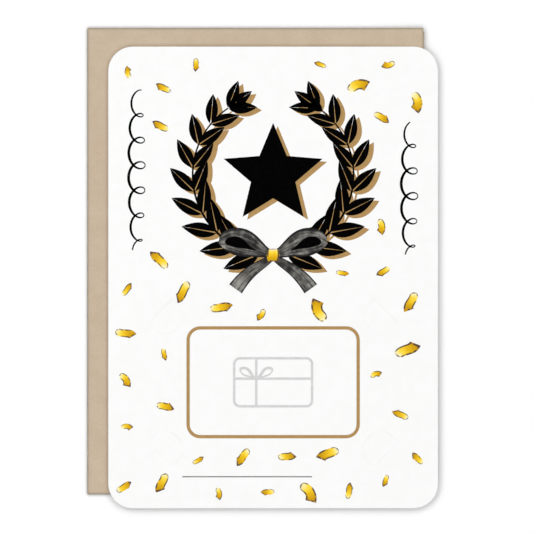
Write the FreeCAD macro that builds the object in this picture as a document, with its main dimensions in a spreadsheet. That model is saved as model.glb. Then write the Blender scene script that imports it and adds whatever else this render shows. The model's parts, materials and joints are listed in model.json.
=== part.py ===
"""Gift card holder: a flat rounded card with four corner tabs for a gift card, laid on its envelope.

The frame is in millimetres. +X is right and +Y is up as the card is read, +Z is out of its printed side.
The origin is the centre of the whole set on the surface that it lies on. The envelope lies face up, so
its closure flap is folded underneath and is the lowest sheet. The card lies on it, moved right and down.
"""

import FreeCAD, Part
import math
import os
import Sketcher

# Driving dimensions, in millimetres.
SIZES = {
    "card_width": 127.0,
    "card_height": 177.8,
    "card_thickness": 0.4,
    "card_corner_radius": 9.5,
    "card_offset_right": 6.74,
    "card_offset_down": 6.26,
    "card_seat_gap": 0.05,
    "gift_width": 85.6,
    "gift_height": 53.98,
    "gift_bottom_margin": 21.5,
    "tab_width": 13.0,
    "tab_reach": 9.0,
    "tab_tip_radius": 5.0,
    "tab_margin": 0.5,
    "knife_gap": 0.08,
    "paper_thickness": 0.16,
    "pocket_room_across": 3.0,
    "pocket_room_along": 2.2,
    "pocket_room_deep": 0.15,
    "corner_relief": 1.0,
    "side_flap_depth": 22.0,
    "side_flap_taper": 9.0,
    "side_flap_setback": 2.0,
    "throat_depth": 26.0,
    "back_panel_inset": 1.5,
    "back_panel_shoulder": 8.0,
    "closure_flap_depth": 66.0,
    "closure_flap_inset": 1.5,
    "closure_flap_taper": 5.0,
    "closure_flap_corner_radius": 7.0,
    "closure_flap_gap": 0.05,
    "crease_gap": 0.03,
    "gum_width": 14.0,
    "gum_thickness": 0.04,
    "gum_edge_inset": 4.0,
    "gum_end_inset": 10.0,
    "glue_thickness": 0.04,
    "glue_edge_inset": 4.0,
    "glue_flap_margin": 4.0,
    "glue_end_margin": 1.0,
}

# Corners of the gift card's seat: name, side in X, side in Y.
CORNERS = (
    ("upper_left", -1, 1),
    ("upper_right", 1, 1),
    ("lower_left", -1, -1),
    ("lower_right", 1, -1),
)

UP = FreeCAD.Vector(0, 0, 1)

# Two points closer than this are one point.
SAME_POINT = 1e-6


def size(name):
    """The sheet's cell of that name, as an expression."""
    return f"Sizes.{name}"


# Heights of the stack's layers, from the surface up, as expressions.
PAPER = size("paper_thickness")
CARD = size("card_thickness")
GUM_BOTTOM = PAPER
BACK_BOTTOM = f"({GUM_BOTTOM} + {size('gum_thickness')} + {size('closure_flap_gap')})"
GLUE_BOTTOM = f"({BACK_BOTTOM} + {PAPER})"
SIDE_BOTTOM = f"({GLUE_BOTTOM} + {size('glue_thickness')})"
POCKET_BOTTOM = f"({SIDE_BOTTOM} + {PAPER})"
FACE_BOTTOM = f"({POCKET_BOTTOM} + {CARD} + {size('pocket_room_deep')})"
FACE_TOP = f"({FACE_BOTTOM} + {PAPER})"
CARD_BOTTOM = f"({FACE_TOP} + {size('card_seat_gap')})"

# The envelope is the card's size and the room to slide it in.
# The card's offset on it places both, because the origin is the middle of the whole set.
ENVELOPE_WIDTH = f"({size('card_width')} + {size('pocket_room_across')})"
ENVELOPE_HEIGHT = f"({size('card_height')} + {size('pocket_room_along')})"
ENVELOPE_X = f"(-({size('card_offset_right')} - {size('pocket_room_across')} / 2) / 2)"
ENVELOPE_Y = f"(({size('card_offset_down')} - {size('pocket_room_along')} / 2) / 2)"
LEFT = f"({ENVELOPE_X} - {ENVELOPE_WIDTH} / 2)"
RIGHT = f"({ENVELOPE_X} + {ENVELOPE_WIDTH} / 2)"
TOP = f"({ENVELOPE_Y} + {ENVELOPE_HEIGHT} / 2)"
LOW = f"({ENVELOPE_Y} - {ENVELOPE_HEIGHT} / 2)"
CARD_LOW = f"({ENVELOPE_Y} - {size('card_offset_down')} - {size('card_height')} / 2)"
SEAT_X = f"({ENVELOPE_X} + {size('card_offset_right')})"
SEAT_Y = f"({CARD_LOW} + {size('gift_bottom_margin')} + {size('gift_height')} / 2)"

# Outer radius of each rolled fold: half the height between the two sheets that it joins.
SIDE_FOLD = f"(({FACE_TOP} - {SIDE_BOTTOM}) / 2)"
BACK_FOLD = f"(({FACE_TOP} - {BACK_BOTTOM}) / 2)"

# The closure flap is scored twice: at the face's edge and where the spine turns under.
CREASE_X = f"({RIGHT} - {PAPER} / 2)"
FACE_CREASE_Z = f"({FACE_TOP} - {PAPER} / 2)"
FLAP_CREASE_Z = f"({PAPER} / 2)"
CREASE_ROOM = f"({PAPER} / 2 + {size('crease_gap')})"

# A tab's two tip corners are never rounder than its width allows.
WIDEST_ROUND = 0.49
TAB_TIP = f"min({size('tab_tip_radius')}; {WIDEST_ROUND} * {size('tab_width')})"


def make_sheet(doc):
    """The driving dimensions as a sheet of named cells."""
    sheet = doc.addObject("Spreadsheet::Sheet", "Sizes")
    for row, (name, value) in enumerate(SIZES.items(), 1):
        sheet.set(f"A{row}", name)
        sheet.set(f"B{row}", str(value))
        sheet.setAlias(f"B{row}", name)
    doc.recompute()
    return sheet


def bind(thing, **expressions):
    """Ties properties of a feature to the sheet."""
    for name, expression in expressions.items():
        thing.setExpression(name, expression)


def place(thing, x, y, z, turn=0):
    """Turns a sub-part about +Z by turn degrees and ties its position to the sheet."""
    thing.Placement = FreeCAD.Placement(FreeCAD.Vector(), FreeCAD.Rotation(UP, turn))
    for axis, expression in zip("xyz", (x, y, z)):
        thing.setExpression(f"Placement.Base.{axis}", expression)


def make_body(doc, name):
    body = doc.addObject("PartDesign::Body", name)
    body.Label = name
    return body


def new_sketch(body, name, role):
    """An empty sketch on one of the body's own origin planes."""
    sketch = body.newObject("Sketcher::SketchObject", name)
    plane = next(o for o in body.Origin.OriginFeatures if o.Role == role)
    sketch.AttachmentSupport = [(plane, "")]
    sketch.MapMode = "FlatFace"
    return sketch


def dimension(sketch, kind, *where, by):
    """Adds a driving dimension that follows an expression."""
    start = sketch.evalExpression(by)
    index = sketch.addConstraint(Sketcher.Constraint(kind, *where, float(start)))
    sketch.setExpression(f"Constraints[{index}]", by)


def draw_outline(sketch, corners):
    """Draws a closed outline of straight edges through corners, each an (x, y) pair of expressions."""
    points = [
        FreeCAD.Vector(float(sketch.evalExpression(x)), float(sketch.evalExpression(y)))
        for x, y in corners
    ]
    first = sketch.GeometryCount
    count = len(points)
    for i in range(count):
        sketch.addGeometry(Part.LineSegment(points[i], points[(i + 1) % count]), False)
    for i, (x, y) in enumerate(corners):
        edge, following = first + i, first + (i + 1) % count
        sketch.addConstraint(Sketcher.Constraint("Coincident", edge, 2, following, 1))
        dimension(sketch, "DistanceX", -1, 1, edge, 1, by=x)
        dimension(sketch, "DistanceY", -1, 1, edge, 1, by=y)


def rectangle(x0, y0, x1, y1):
    return [(x0, y0), (x1, y0), (x1, y1), (x0, y1)]


def pad(body, name, sketch, length, midplane=False):
    feature = body.newObject("PartDesign::Pad", name)
    feature.Profile = sketch
    feature.Midplane = midplane
    bind(feature, Length=length)
    body.Document.recompute()
    return feature


def upright_edges(feature, wanted):
    """Names of the edges along Z whose middle point passes the test."""
    names = []
    for number, edge in enumerate(feature.Shape.Edges, 1):
        start, end = edge.Vertexes[0].Point, edge.Vertexes[-1].Point
        along_z = math.hypot(end.x - start.x, end.y - start.y) < SAME_POINT
        if along_z and wanted((start + end) / 2):
            names.append(f"Edge{number}")
    return names


def round_corners(body, feature, radius, wanted=lambda point: True):
    """Rounds the upright corners of a plate that pass the test."""
    rounding = body.newObject("PartDesign::Fillet", "rounded_corners")
    rounding.Base = (feature, upright_edges(feature, wanted))
    bind(rounding, Radius=radius)
    body.Document.recompute()
    return rounding


def make_plate(doc, name, corners, thickness):
    """A flat sheet cut to an outline, its underside at the body's own z = 0."""
    body = make_body(doc, name)
    outline = new_sketch(body, "cut_outline", "XY_Plane")
    draw_outline(outline, corners)
    pad(body, "sheet", outline, thickness)
    return body


def make_scored_sheet(doc, name, reach, breadth, thickness):
    """A sheet that starts at a crease: its root is rounded about the crease, which is the body's Y axis.

    The sheet reaches along +X from the crease, with its middle plane at z = 0.
    """
    body = make_body(doc, name)
    profile = new_sketch(body, "scored_profile", "XZ_Plane")
    half = float(profile.evalExpression(thickness)) / 2
    end = float(profile.evalExpression(reach))
    upper, tip, lower, root = range(4)
    profile.addGeometry(Part.LineSegment(FreeCAD.Vector(0, half), FreeCAD.Vector(end, half)), False)
    profile.addGeometry(Part.LineSegment(FreeCAD.Vector(end, half), FreeCAD.Vector(end, -half)), False)
    profile.addGeometry(Part.LineSegment(FreeCAD.Vector(end, -half), FreeCAD.Vector(0, -half)), False)
    circle = Part.Circle(FreeCAD.Vector(), UP, half)
    profile.addGeometry(Part.ArcOfCircle(circle, math.pi / 2, 3 * math.pi / 2), False)
    profile.addConstraint(Sketcher.Constraint("Coincident", upper, 2, tip, 1))
    profile.addConstraint(Sketcher.Constraint("Coincident", tip, 2, lower, 1))
    profile.addConstraint(Sketcher.Constraint("Coincident", root, 3, -1, 1))
    profile.addConstraint(Sketcher.Constraint("Tangent", upper, 1, root, 1))
    profile.addConstraint(Sketcher.Constraint("Tangent", lower, 2, root, 2))
    profile.addConstraint(Sketcher.Constraint("Horizontal", upper))
    profile.addConstraint(Sketcher.Constraint("Vertical", tip))
    dimension(profile, "DistanceX", -1, 1, tip, 1, by=reach)
    dimension(profile, "DistanceY", tip, 2, tip, 1, by=thickness)
    return body, pad(body, "sheet", profile, breadth, midplane=True)


def make_fold(doc, name, length, radius):
    """A rolled fold: a half tube of paper about the body's X axis, open towards -Y."""
    body = make_body(doc, name)
    section = new_sketch(body, "fold_section", "XZ_Plane")
    draw_outline(section, rectangle(f"-{length} / 2", f"{radius} - {PAPER}", f"{length} / 2", radius))
    roll = body.newObject("PartDesign::Revolution", "half_roll")
    roll.Profile = section
    roll.ReferenceAxis = (section, ["H_Axis"])
    roll.Angle = 180
    roll.Reversed = True
    doc.recompute()
    return body


def make_strip(doc, name, length, width, height, x, y, z):
    """A straight strip of even thickness, placed by its lowest corner."""
    strip = doc.addObject("Part::Box", name)
    strip.Label = name
    bind(strip, Length=length, Width=width, Height=height)
    place(strip, x, y, z)
    return strip


def make_envelope_panels(doc):
    """The glued pocket: face, two side flaps, back panel, the folds that join them and the seams' glue."""
    straight_top = f"({TOP} - {SIDE_FOLD})"
    straight_low = f"({LOW} + {SIDE_FOLD})"
    straight_left = f"({LEFT} + {BACK_FOLD})"

    face_height = f"({ENVELOPE_HEIGHT} - 2 * {SIDE_FOLD})"
    face_reach = f"({CREASE_X} - {straight_left})"
    face, _ = make_scored_sheet(doc, "envelope_face", face_reach, face_height, PAPER)
    place(face, CREASE_X, ENVELOPE_Y, FACE_CREASE_Z, turn=180)

    relief = size("corner_relief")
    side_fold_length = f"({ENVELOPE_WIDTH} - 2 * {relief})"
    side_fold_z = f"({FACE_TOP} - {SIDE_FOLD})"
    top_fold = make_fold(doc, "top_fold", side_fold_length, SIDE_FOLD)
    place(top_fold, ENVELOPE_X, straight_top, side_fold_z)
    lower_fold = make_fold(doc, "lower_fold", side_fold_length, SIDE_FOLD)
    place(lower_fold, ENVELOPE_X, straight_low, side_fold_z, turn=180)
    left_fold = make_fold(doc, "left_fold", f"({ENVELOPE_HEIGHT} - 2 * {relief})", BACK_FOLD)
    place(left_fold, straight_left, ENVELOPE_Y, f"({FACE_TOP} - {BACK_FOLD})", turn=90)

    flap_half = f"({ENVELOPE_WIDTH} / 2 - {size('side_flap_setback')})"
    flap_end = f"({size('side_flap_depth')} - {SIDE_FOLD})"
    flap_tip_half = f"({flap_half} - {size('side_flap_taper')})"
    side_flap = [
        (f"-{flap_half}", "0"),
        (f"-{flap_tip_half}", f"-{flap_end}"),
        (flap_tip_half, f"-{flap_end}"),
        (flap_half, "0"),
    ]
    top_flap = make_plate(doc, "top_side_flap", side_flap, PAPER)
    place(top_flap, ENVELOPE_X, straight_top, SIDE_BOTTOM)
    lower_flap = make_plate(doc, "lower_side_flap", side_flap, PAPER)
    place(lower_flap, ENVELOPE_X, straight_low, SIDE_BOTTOM, turn=180)

    panel_end = f"({ENVELOPE_WIDTH} - {size('throat_depth')} - {BACK_FOLD})"
    panel_half = f"({ENVELOPE_HEIGHT} / 2 - {size('back_panel_inset')})"
    back = make_plate(doc, "back_panel", rectangle("0", f"-{panel_half}", panel_end, panel_half), PAPER)
    throat_side = float(back.evalExpression(panel_end)) / 2
    round_corners(back, back.Tip, size("back_panel_shoulder"), lambda point: point.x > throat_side)
    place(back, straight_left, ENVELOPE_Y, BACK_BOTTOM)

    seam_start = f"({size('side_flap_setback')} + {size('side_flap_taper')} + {size('glue_end_margin')})"
    seam_stop = f"({size('throat_depth')} + {size('back_panel_shoulder')} + {size('glue_end_margin')})"
    seam_length = f"({ENVELOPE_WIDTH} - {seam_start} - {seam_stop})"
    seam_width = f"({size('side_flap_depth')} - {size('glue_edge_inset')} - {size('glue_flap_margin')})"
    seam = (seam_length, seam_width, size("glue_thickness"))
    seam_x = f"({LEFT} + {seam_start})"
    top_seam_y = f"({TOP} - {size('glue_edge_inset')} - {seam_width})"
    make_strip(doc, "top_seam_glue", *seam, seam_x, top_seam_y, GLUE_BOTTOM)
    lower_seam_y = f"({LOW} + {size('glue_edge_inset')})"
    make_strip(doc, "lower_seam_glue", *seam, seam_x, lower_seam_y, GLUE_BOTTOM)


def make_closure_flap(doc):
    """The flap that shuts the pocket: a narrow spine, the flap itself and its gummed margin."""
    flap_length = f"({ENVELOPE_HEIGHT} - 2 * {size('closure_flap_inset')})"
    spine_low = f"({FLAP_CREASE_Z} + {CREASE_ROOM})"
    spine_height = f"({FACE_CREASE_Z} - {CREASE_ROOM} - {spine_low})"
    flap_low_y = f"({ENVELOPE_Y} - {flap_length} / 2)"
    spine_x = f"({RIGHT} - {PAPER})"
    make_strip(doc, "flap_spine", PAPER, flap_length, spine_height, spine_x, flap_low_y, spine_low)

    depth = f"({size('closure_flap_depth')} - {PAPER} / 2)"
    flap, stock = make_scored_sheet(doc, "closure_flap", depth, flap_length, PAPER)
    die = new_sketch(flap, "end_trims", "XY_Plane")
    half, taper = f"{flap_length} / 2", size("closure_flap_taper")
    for side in ("", "-"):
        edge, trimmed_edge = f"{side}({half})", f"{side}({half} - {taper})"
        draw_outline(die, [("0", edge), (depth, edge), (depth, trimmed_edge)])
    trim = flap.newObject("PartDesign::Pocket", "tapered_ends")
    trim.Profile = die
    trim.Type = "ThroughAll"
    trim.Midplane = True
    doc.recompute()
    free_edge = float(flap.evalExpression(depth)) / 2
    round_corners(flap, trim, size("closure_flap_corner_radius"), lambda point: point.x > free_edge)
    place(flap, CREASE_X, ENVELOPE_Y, FLAP_CREASE_Z, turn=180)

    gum_length = f"({flap_length} - 2 * {taper} - 2 * {size('gum_end_inset')})"
    gum_x = f"({RIGHT} - {size('closure_flap_depth')} + {size('gum_edge_inset')})"
    gum_y = f"({ENVELOPE_Y} - {gum_length} / 2)"
    gum = (size("gum_width"), gum_length, size("gum_thickness"))
    make_strip(doc, "gum_strip", *gum, gum_x, gum_y, GUM_BOTTOM)


def place_at_corner(thing, side_x, side_y):
    """Puts a tab's crease just outside a corner of the gift card's seat, reaching in along the diagonal."""
    margin = size("tab_margin")
    x = f"({SEAT_X} + {side_x} * ({size('gift_width')} / 2 + {margin}))"
    y = f"({SEAT_Y} + {side_y} * ({size('gift_height')} / 2 + {margin}))"
    inwards = math.degrees(math.atan2(-side_y, -side_x))
    place(thing, x, y, f"({CARD_BOTTOM} + {CARD} / 2)", turn=inwards)


def make_holder_card(doc):
    """The printed card, rounded at its corners and knife-cut around the four tabs."""
    half_width = f"{size('card_width')} / 2"
    outline = rectangle(f"-{half_width}", "0", half_width, size("card_height"))
    blank = make_plate(doc, "card_blank", outline, CARD)
    round_corners(blank, blank.Tip, size("card_corner_radius"))
    place(blank, SEAT_X, CARD_LOW, CARD_BOTTOM)

    cuts = []
    gap, reach = size("knife_gap"), size("tab_reach")
    behind = f"({CARD} / 2 + {gap})"
    half_tab = f"({size('tab_width')} / 2 + {gap})"
    for corner, side_x, side_y in CORNERS:
        cut = make_body(doc, f"tab_cut_{corner}")
        knife_line = new_sketch(cut, "knife_line", "XY_Plane")
        draw_outline(knife_line, rectangle(f"-{behind}", f"-{half_tab}", f"{reach} + {gap}", half_tab))
        block = pad(cut, "through_card", knife_line, f"2 * {CARD}", midplane=True)
        round_corners(cut, block, f"{TAB_TIP} + {gap}", lambda point: point.x > 0)
        place_at_corner(cut, side_x, side_y)
        cuts.append(cut)
    windows = doc.addObject("Part::MultiFuse", "tab_cuts")
    windows.Shapes = cuts
    card = doc.addObject("Part::Cut", "holder_card")
    card.Label = "holder_card"
    card.Base = blank
    card.Tool = windows


def make_tabs(doc):
    """The four tongues that lift to take the gift card's corners."""
    for corner, side_x, side_y in CORNERS:
        tab, tongue = make_scored_sheet(doc, f"tab_{corner}", size("tab_reach"), size("tab_width"), CARD)
        round_corners(tab, tongue, TAB_TIP, lambda point: point.x > 0)
        place_at_corner(tab, side_x, side_y)


NODES = (
    "envelope_face",
    "top_fold",
    "lower_fold",
    "left_fold",
    "top_side_flap",
    "lower_side_flap",
    "back_panel",
    "top_seam_glue",
    "lower_seam_glue",
    "flap_spine",
    "closure_flap",
    "gum_strip",
    "holder_card",
) + tuple(f"tab_{corner}" for corner, _, _ in CORNERS)


def check(doc):
    """Stops if a feature failed or a sub-part isn't one valid solid."""
    for thing in doc.Objects:
        if "Invalid" in thing.State or "Error" in thing.State:
            raise RuntimeError(f"{thing.Label} failed: {thing.State}")
    for name in NODES:
        shape = doc.getObject(name).Shape
        if shape.isNull() or not shape.isValid() or len(shape.Solids) != 1:
            raise RuntimeError(f"{name} isn't one valid solid")


def main():
    doc = FreeCAD.newDocument("gift_card_holder")
    make_sheet(doc)
    make_envelope_panels(doc)
    make_closure_flap(doc)
    make_holder_card(doc)
    make_tabs(doc)
    doc.recompute()
    check(doc)
    os.makedirs("parts", exist_ok=True)
    for name in NODES:
        thing = doc.getObject(name)
        thing.Shape.exportStep(os.path.join("parts", f"{thing.Label}.step"))


main()
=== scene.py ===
import json
import math

import bmesh
import bpy
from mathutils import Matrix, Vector, noise


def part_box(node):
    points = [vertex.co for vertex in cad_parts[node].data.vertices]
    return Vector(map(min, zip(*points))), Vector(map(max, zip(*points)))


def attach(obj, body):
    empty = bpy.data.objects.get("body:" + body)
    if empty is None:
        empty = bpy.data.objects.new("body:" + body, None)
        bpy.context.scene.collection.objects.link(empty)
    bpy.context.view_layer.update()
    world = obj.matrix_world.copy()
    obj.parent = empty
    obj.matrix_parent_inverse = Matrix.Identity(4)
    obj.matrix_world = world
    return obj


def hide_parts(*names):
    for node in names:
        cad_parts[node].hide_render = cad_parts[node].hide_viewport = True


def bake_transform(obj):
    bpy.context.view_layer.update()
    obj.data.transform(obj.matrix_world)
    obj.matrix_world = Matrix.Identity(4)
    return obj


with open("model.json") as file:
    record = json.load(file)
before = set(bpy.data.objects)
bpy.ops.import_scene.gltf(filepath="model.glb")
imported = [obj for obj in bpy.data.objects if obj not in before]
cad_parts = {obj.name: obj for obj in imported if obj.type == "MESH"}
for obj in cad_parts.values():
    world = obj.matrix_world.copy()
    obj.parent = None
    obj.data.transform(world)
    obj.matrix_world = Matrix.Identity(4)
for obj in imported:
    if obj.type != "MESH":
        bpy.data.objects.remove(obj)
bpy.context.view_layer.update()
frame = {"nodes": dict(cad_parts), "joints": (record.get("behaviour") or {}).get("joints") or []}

# Envelope pocket: the face, its three folded edges, two side flaps and the back panel are one sheet of
# kraft paper. It is die cut and creased, folded flat, and the back panel is glued over the side flaps.
MM = 0.001
EDGE_DROP = 0.5 * MM
EDGE_SOFT = 30 * MM
FLAP_STEP = 0.035 * MM
FLAP_STEP_SOFT = 2.5 * MM
RIPPLE = 0.05 * MM
RIPPLE_LENGTH = 45 * MM
SIDE_FLAP_TAPER = 9 * MM
SHOULDER = 8 * MM
FOLD_STEPS = 8
FOLD_END = 0.2 * MM
# Painted shade on the envelope's folded outline: full right at the fold, fading out further in, and mixed in
# at this share.
EDGE_SHADE_FULL = 0.32 * MM
EDGE_SHADE_END = 0.95 * MM
EDGE_SHADE_SHARE = 0.72
FIBRE_WIDTH, FIBRE_LENGTH, FIBRE_CURL = 0.12 * MM, 1.3 * MM, 1.6 * MM
FIBRE_SHARE = 0.36
ACROSS_STEPS, ALONG_STEPS = 36, 52
SIDE_FLAP_STEPS = 8
BACK_STEPS = 30
SHARP_ANGLE = math.radians(50)
SAME_PLACE = 1e-7
face_low, face_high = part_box("envelope_face")
top_low, top_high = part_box("top_fold")
lower_low, lower_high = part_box("lower_fold")
left_low, left_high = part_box("left_fold")
side_low, side_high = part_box("top_side_flap")
lower_side_low, lower_side_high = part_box("lower_side_flap")
back_low, back_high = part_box("back_panel")
paper = face_high.z - face_low.z
face_mid = face_high.z - paper / 2
side_mid = side_high.z - paper / 2
back_mid = back_high.z - paper / 2
mouth_x = face_high.x - 2 * paper


def smooth_step(x, low, high):
    """Goes smoothly from 0 at low to 1 at high."""
    t = min(1.0, max(0.0, (x - low) / (high - low)))
    return t * t * (3 - 2 * t)


def between(a, b, share):
    return a + (b - a) * share


def closer_to_ends(count):
    """Shares from 0 to 1 that lie closer together towards both ends."""
    return [(1 - math.cos(math.pi * i / count)) / 2 for i in range(count + 1)]


def face_height(x, y):
    """The face's height: pressed down towards its folds, a little raised over the side flaps inside."""
    ends = min(face_high.y - y, y - face_low.y)
    inside = smooth_step(min(ends, x - face_low.x), 0, EDGE_SOFT)
    from_mouth = smooth_step(mouth_x - x, 0, EDGE_SOFT)
    flap_depth = side_high.y - side_low.y
    sunk = FLAP_STEP * smooth_step(ends, flap_depth, flap_depth + FLAP_STEP_SOFT)
    wave = RIPPLE * noise.noise(Vector((x, y, 0)) / RIPPLE_LENGTH) * inside
    return face_mid - sunk - (EDGE_DROP * (1 - inside) - wave) * from_mouth


def fold_edge_shade(x, y):
    """How much painted shade the paper gets there: 1 on the envelope's folded outline and 0 inside it."""
    edge = min(x - left_low.x, face_high.x - x, top_high.y - y, y - lower_low.y)
    return 1 - smooth_step(edge, EDGE_SHADE_FULL, EDGE_SHADE_END)


def lay_rows(bm, rows):
    """Joins rows of points, all of one length, into a sheet that notes how much painted shade each point
    gets.
    """
    wear = bm.verts.layers.float.get("wear") or bm.verts.layers.float.new("wear")
    made = []
    for row in rows:
        made.append([bm.verts.new(point) for point in row])
        for vert in made[-1]:
            # Each point notes how much painted shade it gets near the folded outline.
            vert[wear] = fold_edge_shade(vert.co.x, vert.co.y)
    for first, second in zip(made, made[1:]):
        for i in range(len(first) - 1):
            bm.faces.new((first[i], first[i + 1], second[i + 1], second[i]))


def add_piece(name, mesh):
    piece = bpy.data.objects.new(name, mesh)
    bpy.context.scene.collection.objects.link(piece)
    return piece


def finish_mesh(bm, name):
    """Turns a built mesh into a piece, its faces outwards."""
    bmesh.ops.recalc_face_normals(bm, faces=bm.faces)
    mesh = bpy.data.meshes.new(name)
    bm.to_mesh(mesh)
    bm.free()
    return add_piece(name, mesh)


def fold_sheet(bm, name):
    """Turns a built sheet into a piece of paper's thickness, smooth round its folds."""
    sheet = finish_mesh(bm, "unfolded_" + name)
    wall = sheet.modifiers.new("paper_thickness", "SOLIDIFY")
    wall.thickness = paper
    wall.offset = 0
    wall.use_even_offset = True
    mesh = bpy.data.meshes.new_from_object(sheet.evaluated_get(bpy.context.evaluated_depsgraph_get()))
    mesh.shade_smooth()
    mesh.set_sharp_from_angle(angle=SHARP_ANGLE)
    bpy.data.objects.remove(sheet)
    return add_piece(name, mesh)


across_shares = closer_to_ends(ACROSS_STEPS)
along_shares = closer_to_ends(ALONG_STEPS)
roll_angles = [math.pi * (i / FOLD_STEPS - 0.5) for i in range(FOLD_STEPS + 1)]


def side_flap_rows(fold_y, free_y, x0, x1):
    """Rows of a side flap from its free edge to its fold, narrower towards the free edge."""
    rows = []
    for share in closer_to_ends(SIDE_FLAP_STEPS):
        trim = SIDE_FLAP_TAPER * (1 - share)
        y = between(free_y, fold_y, share)
        rows.append([(between(x0 + trim, x1 - trim, t), y, side_mid) for t in across_shares])
    return rows


def side_fold_rows(edge_y, outer_y):
    """Rows round a folded edge, after the side flap's last and before the face's first."""
    rows = []
    for angle in roll_angles[1:-1]:
        row = []
        for t in across_shares:
            x = between(left_low.x + FOLD_END, mouth_x, t)
            top = face_height(x, edge_y)
            y = edge_y + (outer_y - edge_y) * math.cos(angle)
            row.append((x, y, (top + side_mid) / 2 + (top - side_mid) / 2 * math.sin(angle)))
        rows.append(row)
    return rows


face_xs = [between(face_low.x, mouth_x, t) for t in across_shares]
face_rows = []
for share in along_shares:
    y = between(face_high.y, face_low.y, share)
    face_rows.append([(x, y, face_height(x, y)) for x in face_xs])
rows = side_flap_rows(top_low.y, side_low.y, side_low.x, side_high.x)
rows += side_fold_rows(top_low.y, top_high.y - paper / 2)
rows += face_rows
rows += side_fold_rows(lower_high.y, lower_low.y + paper / 2)[::-1]
rows += side_flap_rows(lower_high.y, lower_side_high.y, lower_side_low.x, lower_side_high.x)[::-1]
blank = bmesh.new()
lay_rows(blank, rows)

rows = [[row[0] for row in face_rows]]
for angle in roll_angles[-2::-1]:
    row = []
    for share in along_shares:
        y = between(top_high.y - FOLD_END, lower_low.y + FOLD_END, share)
        top = face_height(face_low.x, y)
        x = left_high.x - (left_high.x - left_low.x - paper / 2) * math.cos(angle)
        row.append((x, y, (top + back_mid) / 2 + (top - back_mid) / 2 * math.sin(angle)))
    rows.append(row)
for across in closer_to_ends(BACK_STEPS)[1:]:
    x = between(back_low.x, back_high.x, across)
    past = max(0, x - (back_high.x - SHOULDER))
    trim = SHOULDER - math.sqrt(max(0, SHOULDER**2 - past**2))
    rows.append([(x, between(back_high.y - trim, back_low.y + trim, t), back_mid) for t in along_shares])
lay_rows(blank, rows)
bmesh.ops.remove_doubles(blank, verts=blank.verts, dist=SAME_PLACE)
pocket = fold_sheet(blank, "envelope_pocket")


class Shade:
    """A value in a node tree. Arithmetic on it adds Math nodes, and node adds any other kind."""

    def __init__(self, tree, socket=None):
        self.tree = tree
        self.socket = socket

    def node(self, kind, settings=None, sockets=None, out=0):
        made = self.tree.nodes.new(kind)
        for name, value in (settings or {}).items():
            if name == "stops":
                stops = made.color_ramp.elements
                while len(stops) < len(value):
                    stops.new(1)
                for stop, (place, colour) in zip(stops, value):
                    stop.position = place
                    stop.color = (*colour, 1)
            else:
                setattr(made, name, value)
        for name, value in (sockets or {}).items():
            if isinstance(value, Shade):
                self.tree.links.new(value.socket, made.inputs[name])
            else:
                made.inputs[name].default_value = value
        return Shade(self.tree, made.outputs[out])

    def also(self, out):
        """Another output of the node that this value comes from."""
        return Shade(self.tree, self.socket.node.outputs[out])

    def math(self, operation, first, second=0.0):
        return self.node("ShaderNodeMath", {"operation": operation}, {0: first, 1: second})

    def __add__(self, other):
        return self.math("ADD", self, other)

    def __sub__(self, other):
        return self.math("SUBTRACT", self, other)

    def __rsub__(self, other):
        return self.math("SUBTRACT", other, self)

    def __mul__(self, other):
        return self.math("MULTIPLY", self, other)

    __radd__ = __add__
    __rmul__ = __mul__

    def rise(self, low, high):
        """Goes smoothly from 0 at low to 1 at high."""
        sockets = {0: self, 1: low, 2: high}
        return self.node("ShaderNodeMapRange", {"interpolation_type": "SMOOTHSTEP"}, sockets)

    def mix(self, first, second):
        """From one colour to another by this value."""
        first, second = (c if isinstance(c, Shade) else (*c, 1) for c in (first, second))
        return self.node("ShaderNodeMix", {"data_type": "RGBA"}, {0: self, 6: first, 7: second}, out=2)

    def noise(self, grain, detail=2.0):
        """Cloudy noise at this place, with grains of that size in metres."""
        return self.node("ShaderNodeTexNoise", {}, {"Vector": self, "Scale": 1 / grain, "Detail": detail})

    def streaks(self, width, length, turn=0.0, detail=1.0):
        """Noise at this place, drawn out along x, or along a line turned from it."""
        sockets = {"Vector": self, "Rotation": (0, 0, turn), "Scale": (length, width, 1)}
        drawn_out = self.node("ShaderNodeMapping", {"vector_type": "TEXTURE"}, sockets)
        return self.node("ShaderNodeTexNoise", {}, {"Vector": drawn_out, "Scale": 1.0, "Detail": detail})


class Finish:
    """A new material: its shader, the place on the piece, and what drives the shader's sockets."""

    def __init__(self, name, roughness, shine):
        self.material = bpy.data.materials.new(name)
        self.material.use_nodes = True
        self.shader = self.material.node_tree.nodes["Principled BSDF"]
        self.shader.inputs["Roughness"].default_value = roughness
        self.shader.inputs["Specular IOR Level"].default_value = shine
        self.pen = Shade(self.material.node_tree)
        self.place = self.pen.node("ShaderNodeTexCoord", out="Object")

    def own(self, name):
        """An attribute of the piece's own mesh."""
        return self.pen.node("ShaderNodeAttribute", {"attribute_name": name}, out="Fac")

    def bump(self, height, depth, strength):
        sockets = {"Height": height, "Distance": depth, "Strength": strength}
        return self.pen.node("ShaderNodeBump", {}, sockets)

    def drive(self, **sockets):
        for name, value in sockets.items():
            self.material.node_tree.links.new(value.socket, self.shader.inputs[name.replace("_", " ")])
        return self.material


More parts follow.
